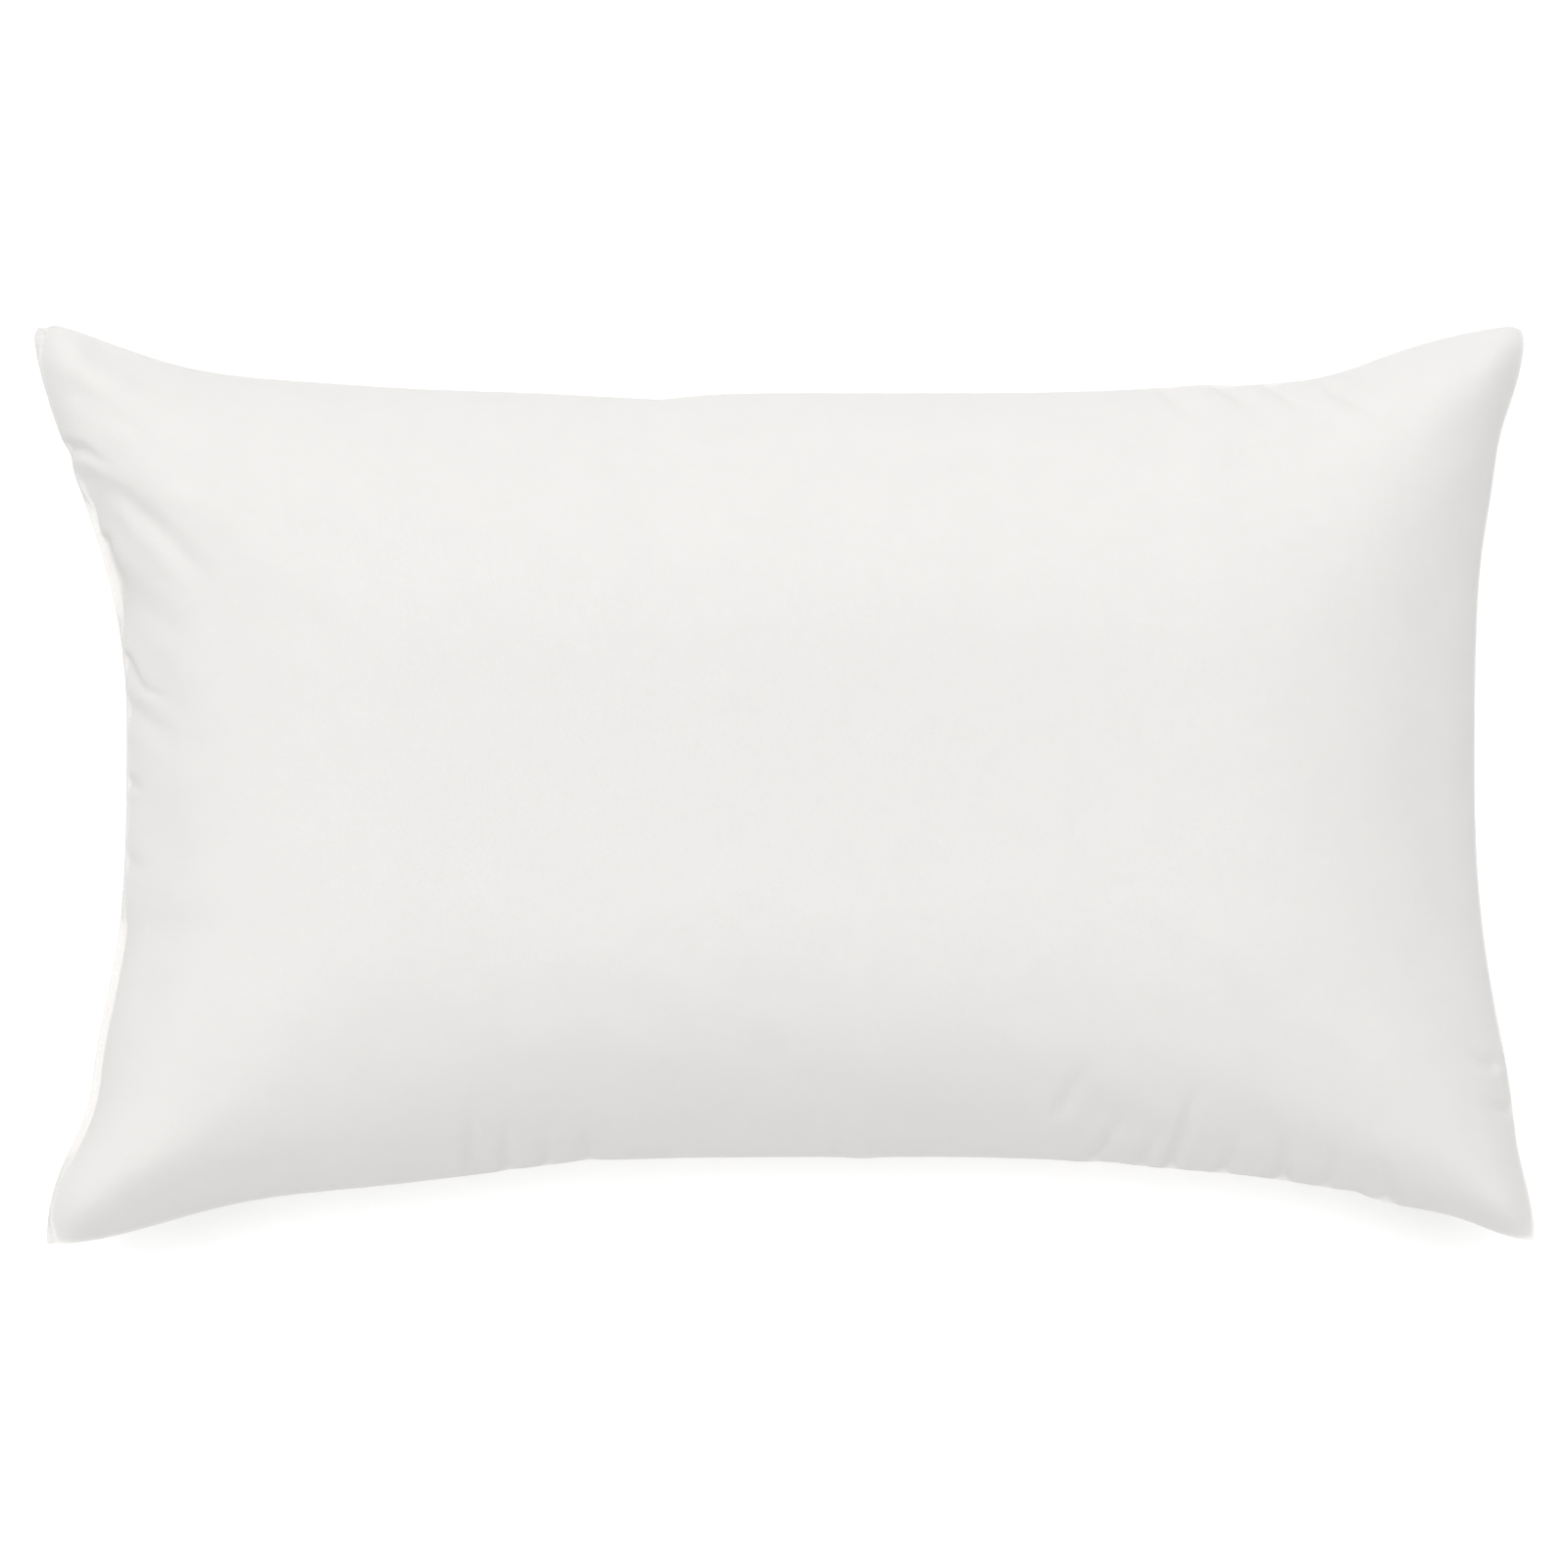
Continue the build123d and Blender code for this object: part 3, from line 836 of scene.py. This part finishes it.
def cotton():
    """Fine plain-woven cotton, with uneven yarns, faint mottling and puckers at the closing stitches."""
    shader = Shader("white_cotton", roughness=0.9, sheen=0.12)
    place = shader.add("ShaderNodeUVMap", uv_map="flat_cloth").outputs[0]
    split = shader.add("ShaderNodeSeparateXYZ", {0: place})
    warp, weft = (shader.waves(split.outputs[axis], YARN_PITCH) for axis in (0, 1))
    weave = shader.maths("MULTIPLY", warp, weft)
    slubs_along = shader.noise(place, SLUB, stretch=(0.12, 4, 1))
    slubs_across = shader.noise(place, SLUB, stretch=(4, 0.12, 1))
    slubs = shader.maths("ADD", slubs_along, slubs_across)
    rumple = shader.noise(place, RUMPLE, detail=4)
    pucker = shader.waves(split.outputs[1], STITCH_PITCH)
    at_stitches = shader.maths("LESS_THAN", split.outputs[0], PUCKERED)
    sewn = shader.maths("MULTIPLY", pucker, at_stitches)
    soft = shader.bump(rumple, distance=0.004, strength=0.25)
    yarn = shader.bump(slubs, distance=0.0002, strength=0.25, under=soft)
    woven = shader.bump(weave, distance=0.0001, strength=0.30, under=yarn)
    shader.bump(sewn, distance=0.0001, strength=0.30, under=woven)
    uneven = shader.maths("MULTIPLY", slubs, 0.25)
    mottle = shader.maths("ADD", shader.noise(place, MOTTLE, detail=5), uneven)
    shader.tint(shader.maths("SUBTRACT", mottle, 0.25), shade(WHITE, 0.978), shade(WHITE, 1.014))
    return shader.material


def thread_material():
    """Polyester sewing thread: bright, with a twist."""
    shader = Shader("white_thread", roughness=0.55, sheen=0.05)
    place = shader.add("ShaderNodeTexCoord").outputs["Object"]
    split = shader.add("ShaderNodeSeparateXYZ", {0: place})
    slant = shader.maths("ADD", split.outputs[0], split.outputs[1])
    twist = shader.waves(slant, TWIST_PITCH)
    shader.bump(twist, distance=0.00005, strength=0.5)
    shader.tint(shader.noise(place, 0.002), shade(WHITE, 0.97), shade(WHITE, 1.03))
    return shader.material


def satin():
    """Blank white satin ribbon with fine ribs across it."""
    shader = Shader("white_satin", roughness=0.42, sheen=0.05)
    place = shader.add("ShaderNodeUVMap", uv_map="flat_cloth").outputs[0]
    split = shader.add("ShaderNodeSeparateXYZ", {0: place})
    ribs = shader.waves(split.outputs[0], RIB_PITCH)
    shader.bump(ribs, distance=0.00005, strength=0.4)
    shader.tint(shader.noise(place, 0.006, detail=4), shade(WHITE, 0.97), shade(WHITE, 1.03))
    return shader.material


def fibre():
    """Loose polyester fibre: matted strands in every direction."""
    shader = Shader("polyester_fibre", roughness=0.8, sheen=0.4)
    place = shader.add("ShaderNodeTexCoord").outputs["Object"]
    ways = ((0.2, 3, 1), (3, 0.2, 1), (1, 3, 0.2))
    strands = [shader.noise(place, STRAND, detail=6, stretch=way) for way in ways]
    matted = shader.maths("ADD", shader.maths("ADD", strands[0], strands[1]), strands[2])
    shader.bump(matted, distance=0.001, strength=0.8)
    shader.tint(shader.maths("MULTIPLY", matted, 0.5), shade(WHITE, 0.90), shade(WHITE, 1.04))
    return shader.material


def floor_material():
    shader = Shader("pale_floor", roughness=0.9, sheen=0.0)
    shader.surface.inputs["Base Color"].default_value = (FLOOR_WHITE,) * 3 + (1,)
    shader.surface.inputs["Emission Color"].default_value = (1, 1, 1, 1)
    shader.surface.inputs["Emission Strength"].default_value = FLOOR_GLOW
    return shader.material


# ---------------------------------------------------------------- the scene


def paint(thing, material, body):
    """Gives a piece its one material, and the body it moves with, if it has one."""
    thing.data.materials.clear()
    thing.data.materials.append(material)
    if body:
        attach(thing, body)


def sew_pillow():
    """Every piece of the pillow, each standing for its own CAD node."""
    upper, lower = (finer(grid) for grid in casing_shape())
    upper = creased(upper)
    cloth, thread = cotton(), thread_material()
    top = panel("upper_panel", upper, 1)
    bottom = panel("lower_panel", lower, -1)
    for thing, node in ((top, "casing_top_panel"), (bottom, "casing_bottom_panel")):
        paint(thing, cloth, "pillow")
        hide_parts(node)
    fill = fibre_fill(upper, lower)
    paint(fill, fibre(), "pillow")
    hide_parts("fibre_fill")
    threads = {
        "overlock_needle_thread": overlock_needle(),
        "overlock_upper_looper_thread": overlock_looper("overlock_upper_looper", 0, RIM / 2),
        "overlock_lower_looper_thread": overlock_looper("overlock_lower_looper", 1, -RIM / 2),
        "closing_needle_thread": closing_thread("closing_needle", 1, 0.0),
        "closing_bobbin_thread": closing_thread("closing_bobbin", -1, 3 * LABEL_SPREAD),
    }
    for node, thing in threads.items():
        paint(thing, thread, "pillow")
        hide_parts(node)
    hinge = Vector(JOINT["pos_m"])
    length = hinge.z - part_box("care_label")[0].z
    label = care_label(hinge, length)
    paint(label, satin(), None)
    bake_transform(label)
    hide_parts("care_label_sewn_edge", "care_label")


def set_light():
    """The soft lamps, and a pale sky that is brightest low down."""
    world = bpy.data.worlds.new("studio")
    world.use_nodes = True
    tree = world.node_tree
    direction = tree.nodes.new("ShaderNodeTexCoord").outputs["Generated"]
    split = tree.nodes.new("ShaderNodeSeparateXYZ")
    fade = tree.nodes.new("ShaderNodeMapRange")
    for socket, value in zip(("From Min", "From Max", "To Min", "To Max"), HORIZON + SKY_LIGHT):
        fade.inputs[socket].default_value = value
    tree.links.new(direction, split.inputs[0])
    tree.links.new(split.outputs["Z"], fade.inputs["Value"])
    tree.links.new(fade.outputs[0], tree.nodes["Background"].inputs["Strength"])
    tree.nodes["Background"].inputs["Color"].default_value = (1, 1, 1, 1)
    bpy.context.scene.world = world
    for name, (place, strength) in LAMPS.items():
        light = bpy.data.lights.new(name, "SUN")
        light.energy = strength
        light.angle = LAMP_SPREAD
        lamp = bpy.data.objects.new(name, light)
        lamp.rotation_mode = "QUATERNION"
        lamp.rotation_quaternion = place.to_track_quat("Z", "Y")
        bpy.context.scene.collection.objects.link(lamp)


def set_floor():
    """A pale floor, which is only there to stand on."""
    bpy.ops.mesh.primitive_plane_add(size=FLOOR_SIZE)
    floor = bpy.context.object
    floor.name = "floor"
    floor.data.materials.append(floor_material())


def set_camera():
    """Straight above the pillow, with its back edge at the top of the view."""
    data = bpy.data.cameras.new("camera")
    data.lens = LENS
    data.sensor_width = SENSOR
    camera = bpy.data.objects.new("camera", data)
    camera.location = (0, 0, SEAM + VIEW_WIDTH * LENS / SENSOR)
    bpy.context.scene.collection.objects.link(camera)
    bpy.context.scene.camera = camera


for thing in list(bpy.data.objects):
    bpy.data.objects.remove(thing)
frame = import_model()
JOINT = frame["joints"][0]
SEAM = (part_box("casing_top_panel")[0].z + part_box("casing_bottom_panel")[1].z) / 2
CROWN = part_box("casing_top_panel")[1].z
EDGE_LINES = split_at_corners(outer_edge(frame["nodes"]["casing_top_panel"]))
bpy.context.scene.view_settings.view_transform = "Standard"
sew_pillow()
set_light()
set_floor()
set_camera()
